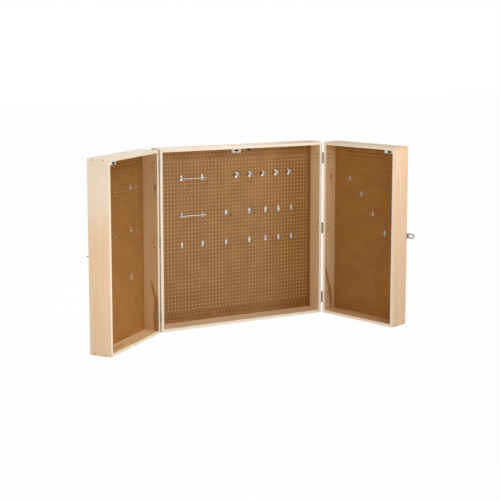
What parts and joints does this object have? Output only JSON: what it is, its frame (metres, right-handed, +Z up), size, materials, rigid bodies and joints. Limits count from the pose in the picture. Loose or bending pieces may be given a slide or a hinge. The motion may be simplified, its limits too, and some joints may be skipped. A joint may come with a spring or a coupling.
{
  "type": "tool cabinet",
  "caption": "Wall-hung wooden tool cabinet with deep hinged doors lined with pegboard, steel tool hooks, bars and spring clips, and a hasp.",
  "frame": {"origin": "middle of the underside of the middle box, at half its depth", "axes": "+X right as someone faces the cabinet, +Y into the wall, +Z up"},
  "size_m": [2.1869, 0.7316, 1.2192],
  "materials": {
    "maple": "clear satin",
    "plywood": "clear satin",
    "pine": "planed",
    "hardboard": "tempered hardboard",
    "zinc": "bright zinc",
    "hinge_steel": "dull zinc",
    "hasp_steel": "dull zinc",
    "screw_steel": "dull zinc",
    "catch_plastic": "moulded",
    "magnet": "matt black",
    "strike_steel": "dull zinc"
  },
  "bodies": {
    "cabinet": {"bar_holder_lower": "zinc", "bar_holder_upper": "zinc", "cabinet_bottom": "maple", "cabinet_catch": "catch_plastic", "cabinet_keeper": "strike_steel", "cabinet_leaf_left_1": "hinge_steel", "cabinet_leaf_left_2": "hinge_steel", "cabinet_leaf_left_3": "hinge_steel", "cabinet_leaf_right_1": "hinge_steel", "cabinet_leaf_right_2": "hinge_steel", "cabinet_leaf_right_3": "hinge_steel", "cabinet_magnet": "magnet", "cabinet_pegboard": "hardboard", "cabinet_rail_bottom": "pine", "cabinet_rail_top": "pine", "cabinet_screws": "screw_steel", "cabinet_side_left": "maple", "cabinet_side_right": "maple", "cabinet_top": "maple", "double_hook_1": "zinc", "double_hook_2": "zinc", "medium_hook_1": "zinc", "medium_hook_2": "zinc", "medium_hook_3": "zinc", "small_hooks": "zinc", "spring_clips": "zinc"},
    "left_door": {"left_door_bottom": "maple", "left_door_cleats": "pine", "left_door_corner_block": "maple", "left_door_hooks": "zinc", "left_door_leaf_1": "hinge_steel", "left_door_leaf_2": "hinge_steel", "left_door_leaf_3": "hinge_steel", "left_door_panel": "plywood", "left_door_pegboard": "hardboard", "left_door_screws": "screw_steel", "left_door_side_free": "maple", "left_door_side_hinged": "maple", "left_door_staple": "hasp_steel", "left_door_strike": "strike_steel", "left_door_top": "maple"},
    "right_door": {"right_door_bottom": "maple", "right_door_cleats": "pine", "right_door_corner_block": "maple", "right_door_hasp_plate": "hasp_steel", "right_door_hooks": "zinc", "right_door_leaf_1": "hinge_steel", "right_door_leaf_2": "hinge_steel", "right_door_leaf_3": "hinge_steel", "right_door_panel": "plywood", "right_door_pegboard": "hardboard", "right_door_screws": "screw_steel", "right_door_side_free": "maple", "right_door_side_hinged": "maple", "right_door_strike": "strike_steel", "right_door_top": "maple"},
    "hasp": {"hasp_strap": "hasp_steel"}
  },
  "joints": [
    {"name": "left_door_swing", "type": "hinge", "parent": "cabinet", "child": "left_door", "pos_m": [-0.61582, -0.0772, 0], "axis": [0, 0, -1], "range_deg": [-140.8, 36]},
    {"name": "right_door_swing", "type": "hinge", "parent": "cabinet", "child": "right_door", "pos_m": [0.61582, -0.0772, 0], "axis": [0, 0, 1], "range_deg": [-110.2, 68.8]},
    {"name": "hasp_swing", "type": "hinge", "parent": "right_door", "child": "hasp", "pos_m": [0.97369, -0.59372, 0.6096], "axis": [0, 0, 1], "range_deg": [0, 175]}
  ]
}
